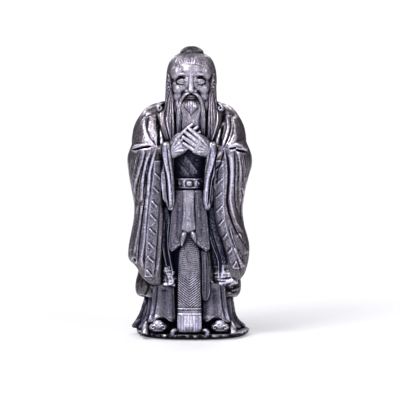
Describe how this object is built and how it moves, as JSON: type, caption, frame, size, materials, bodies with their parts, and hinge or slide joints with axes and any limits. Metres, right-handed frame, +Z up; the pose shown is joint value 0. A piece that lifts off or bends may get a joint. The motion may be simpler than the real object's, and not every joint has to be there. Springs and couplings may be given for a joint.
{
  "type": "resin statue",
  "caption": "Standing robed scholar figure with joined hands, long beard and wide hanging sleeves, on a low oval base; satin dark metallic finish.",
  "frame": {"origin": "middle of the base's flat underside, on the surface that the statue stands on", "axes": "+Z up through the figure, -Y the way the figure faces, +X the figure's own left"},
  "size_m": [0.0597, 0.0431, 0.14],
  "materials": {
    "robe_pewter": "satin dark pewter lacquer over cast resin, brighter on raised edges and darker in the folds",
    "gown_pewter": "satin dark pewter lacquer over cast resin, brighter on raised edges and darker in the folds",
    "skin_pewter": "satin dark pewter lacquer over cast resin, brighter on raised edges and darker in the folds",
    "hair_pewter": "satin dark pewter lacquer over cast resin, brighter on raised edges and darker in the folds",
    "trim_pewter": "satin dark pewter lacquer over cast resin, brighter on raised edges and darker in the folds",
    "base_pewter": "satin dark pewter lacquer over cast resin, brighter on raised edges and darker in the folds"
  },
  "bodies": {
    "root": {"base": "base_pewter", "shoe_right": "trim_pewter", "shoe_left": "trim_pewter", "gown": "gown_pewter", "skirt_panel_right": "gown_pewter", "skirt_panel_left": "gown_pewter", "robe": "robe_pewter", "collar_right": "robe_pewter", "collar_left": "robe_pewter", "sleeve_right": "robe_pewter", "sleeve_left": "robe_pewter", "sleeve_border_right": "trim_pewter", "sleeve_border_left": "trim_pewter", "sleeve_lining_right": "trim_pewter", "sleeve_lining_left": "trim_pewter", "under_sleeve_right": "trim_pewter", "under_sleeve_left": "trim_pewter", "belt": "trim_pewter", "belt_boss": "trim_pewter", "belt_stud_right": "trim_pewter", "belt_stud_left": "trim_pewter", "sash": "trim_pewter", "bow_loop_right": "trim_pewter", "bow_loop_left": "trim_pewter", "apron": "trim_pewter", "peplum_right": "gown_pewter", "peplum_left": "gown_pewter", "skirt_tail": "gown_pewter", "head": "skin_pewter", "hair": "hair_pewter", "topknot": "hair_pewter", "ribbon_end_right": "trim_pewter", "ribbon_end_left": "trim_pewter", "beard": "hair_pewter", "chin_tuft": "hair_pewter", "moustache_right": "hair_pewter", "moustache_left": "hair_pewter", "side_lock_right": "hair_pewter", "side_lock_left": "hair_pewter", "hand_right": "skin_pewter", "hand_left": "skin_pewter"}
  },
  "joints": []
}
